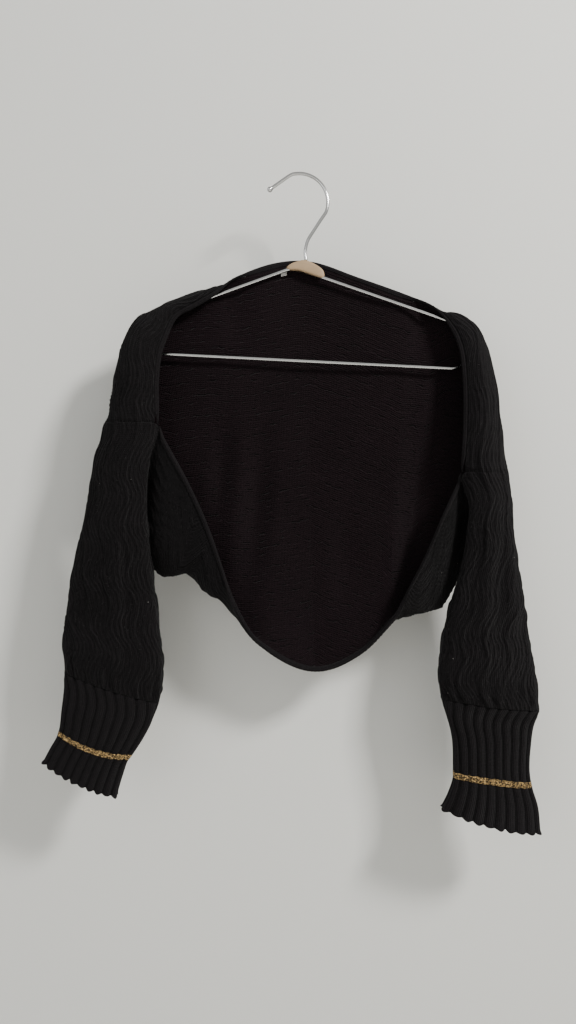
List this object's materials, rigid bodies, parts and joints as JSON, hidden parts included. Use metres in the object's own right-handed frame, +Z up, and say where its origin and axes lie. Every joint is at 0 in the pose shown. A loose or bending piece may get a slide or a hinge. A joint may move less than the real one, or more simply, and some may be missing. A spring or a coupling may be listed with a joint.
{
  "type": "knitted shrug on a wire hanger",
  "caption": "Cropped long-sleeved knitted shrug with an open rounded front, flared ribbed cuffs with a metallic stripe, hung on a wire hanger.",
  "frame": {"origin": "underside of the crown of the hanger's hook, where a peg or rail touches it", "axes": "+Z up, +X to the right of someone who faces the open front, +Y away from them"},
  "size_m": [0.6163, 0.0605, 0.8243],
  "materials": {
    "black_knit": "fine matt knit with wavy raised lines",
    "black_rib": "matt ribbed knit",
    "gold_yarn": "glittering metallic yarn",
    "chrome_wire": "polished wire",
    "beige_saddle": "smooth pale board, bare",
    "white_tape": "small plain woven tab"
  },
  "bodies": {
    "root": {"sleeve_left": "black_knit", "body_left": "black_knit", "body_shoulder_left": "black_knit", "body_neck_left": "black_knit", "body_back": "black_knit", "body_neck_right": "black_knit", "body_turn_right": "black_knit", "body_shoulder_right": "black_knit", "body_right": "black_knit", "sleeve_right": "black_knit", "neck_band": "black_rib", "hem_band": "black_rib", "cuff_left_upper": "black_rib", "cuff_left_stripe": "gold_yarn", "cuff_left_hem": "black_rib", "cuff_right_upper": "black_rib", "cuff_right_stripe": "gold_yarn", "cuff_right_hem": "black_rib", "neck_tab": "white_tape", "hanger_frame": "chrome_wire", "hanger_saddle": "beige_saddle", "hanger_hook": "chrome_wire"}
  },
  "joints": []
}
